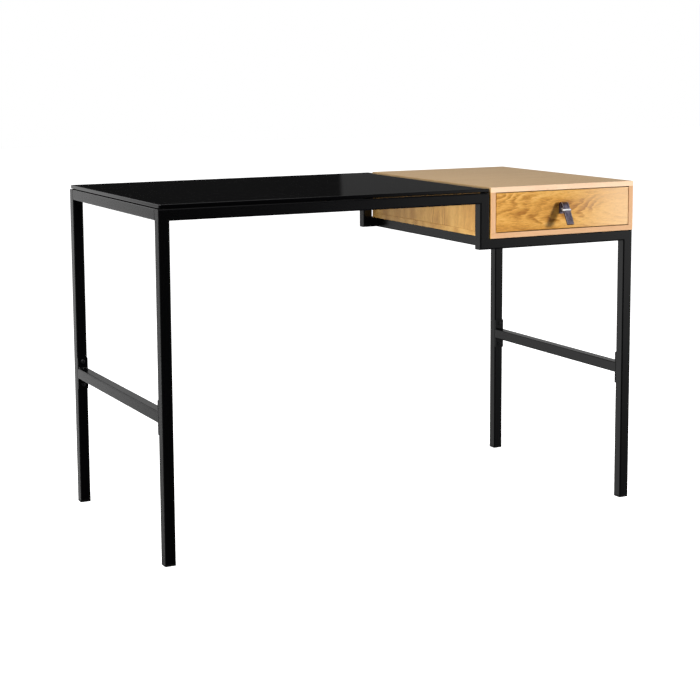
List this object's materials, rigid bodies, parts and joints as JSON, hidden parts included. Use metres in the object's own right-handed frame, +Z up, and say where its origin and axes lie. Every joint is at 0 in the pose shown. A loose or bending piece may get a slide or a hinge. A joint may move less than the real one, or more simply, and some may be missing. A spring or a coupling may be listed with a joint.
{
  "type": "writing desk with drawer",
  "caption": "Writing desk with a stepped square-tube steel frame, a black glass top and a wooden cabinet at one end whose drawer slides out on ball bearing runners.",
  "frame": {"origin": "on the floor, under the middle of the desk outline, pull strap included", "axes": "+X along the length towards the cabinet, -Y towards the user and the way the drawer opens, +Z up"},
  "size_m": [1.2, 0.6398, 0.772],
  "materials": {
    "black_powder_coat": "satin black powder coat",
    "foot_plastic": "black moulded plastic",
    "dark_bolt_steel": "black oxide",
    "zinc_steel": "bright zinc plate",
    "runner_steel": "zinc plated sheet steel",
    "cage_steel": "plain steel, greased",
    "black_glass": "opaque black glass, polished edges",
    "pad_rubber": "soft black pads",
    "oak_veneer": "oak veneer, satin lacquer",
    "oak_edging": "pale oak edging strip",
    "drawer_box_board": "lacquered birch board",
    "dowel_beech": "plain beech",
    "strap_leather": "dark brown, glossy face",
    "band_metal": "polished"
  },
  "bodies": {
    "desk": {"cabinet_back": "oak_veneer", "cabinet_bottom": "oak_veneer", "cabinet_bottom_edging": "oak_edging", "cabinet_dowels": "dowel_beech", "cabinet_hold_down_screws": "dark_bolt_steel", "cabinet_left_side": "oak_veneer", "cabinet_right_side": "oak_veneer", "cabinet_side_edgings": "oak_edging", "cabinet_top": "oak_veneer", "cabinet_top_edging": "oak_edging", "front_left_foot": "foot_plastic", "front_left_leg": "black_powder_coat", "front_low_rail": "black_powder_coat", "front_right_foot": "foot_plastic", "front_right_leg": "black_powder_coat", "front_step_post": "black_powder_coat", "front_top_rail": "black_powder_coat", "glass_pads": "pad_rubber", "glass_top": "black_glass", "left_bearer": "black_powder_coat", "left_front_end_plate": "black_powder_coat", "left_rear_end_plate": "black_powder_coat", "left_runner_cabinet_member": "runner_steel", "left_side_rail": "black_powder_coat", "left_stretcher": "black_powder_coat", "leg_nuts": "zinc_steel", "rear_left_foot": "foot_plastic", "rear_left_leg": "black_powder_coat", "rear_low_rail": "black_powder_coat", "rear_right_foot": "foot_plastic", "rear_right_leg": "black_powder_coat", "rear_step_post": "black_powder_coat", "rear_top_rail": "black_powder_coat", "right_bearer": "black_powder_coat", "right_front_end_plate": "black_powder_coat", "right_rear_end_plate": "black_powder_coat", "right_runner_cabinet_member": "runner_steel", "right_stretcher": "black_powder_coat", "runner_cabinet_screws": "zinc_steel", "stretcher_bolts": "dark_bolt_steel"},
    "drawer": {"drawer_bottom": "drawer_box_board", "drawer_box_back": "drawer_box_board", "drawer_box_front": "drawer_box_board", "drawer_front": "oak_veneer", "drawer_front_screws": "zinc_steel", "drawer_left_side": "drawer_box_board", "drawer_right_side": "drawer_box_board", "left_runner_drawer_member": "runner_steel", "pull_band": "band_metal", "pull_screw": "zinc_steel", "pull_sleeve_nut": "zinc_steel", "pull_strap": "strap_leather", "right_runner_drawer_member": "runner_steel", "runner_drawer_screws": "zinc_steel"},
    "left_runner_middle": {"left_runner_middle_member": "runner_steel"},
    "left_outer_cage": {"left_runner_outer_ball_cage": "cage_steel"},
    "left_inner_cage": {"left_runner_inner_ball_cage": "cage_steel"},
    "right_runner_middle": {"right_runner_middle_member": "runner_steel"},
    "right_outer_cage": {"right_runner_outer_ball_cage": "cage_steel"},
    "right_inner_cage": {"right_runner_inner_ball_cage": "cage_steel"}
  },
  "joints": [
    {"name": "drawer_slide", "type": "slide", "parent": "desk", "child": "drawer", "axis": [0, -1, 0], "range_m": [0, 0.48]},
    {"name": "left_runner_middle_slide", "type": "slide", "parent": "desk", "child": "left_runner_middle", "axis": [0, -1, 0], "range_m": [0, 0.24]},
    {"name": "left_outer_cage_slide", "type": "slide", "parent": "desk", "child": "left_outer_cage", "axis": [0, -1, 0], "range_m": [0, 0.12]},
    {"name": "left_inner_cage_slide", "type": "slide", "parent": "desk", "child": "left_inner_cage", "axis": [0, -1, 0], "range_m": [0, 0.36]},
    {"name": "right_runner_middle_slide", "type": "slide", "parent": "desk", "child": "right_runner_middle", "axis": [0, -1, 0], "range_m": [0, 0.24]},
    {"name": "right_outer_cage_slide", "type": "slide", "parent": "desk", "child": "right_outer_cage", "axis": [0, -1, 0], "range_m": [0, 0.12]},
    {"name": "right_inner_cage_slide", "type": "slide", "parent": "desk", "child": "right_inner_cage", "axis": [0, -1, 0], "range_m": [0, 0.36]}
  ],
  "couplings": [
    {"joint": "left_runner_middle_slide", "follows": "drawer_slide", "ratio": 0.5},
    {"joint": "left_outer_cage_slide", "follows": "drawer_slide", "ratio": 0.25},
    {"joint": "left_inner_cage_slide", "follows": "drawer_slide", "ratio": 0.75},
    {"joint": "right_runner_middle_slide", "follows": "drawer_slide", "ratio": 0.5},
    {"joint": "right_outer_cage_slide", "follows": "drawer_slide", "ratio": 0.25},
    {"joint": "right_inner_cage_slide", "follows": "drawer_slide", "ratio": 0.75}
  ]
}
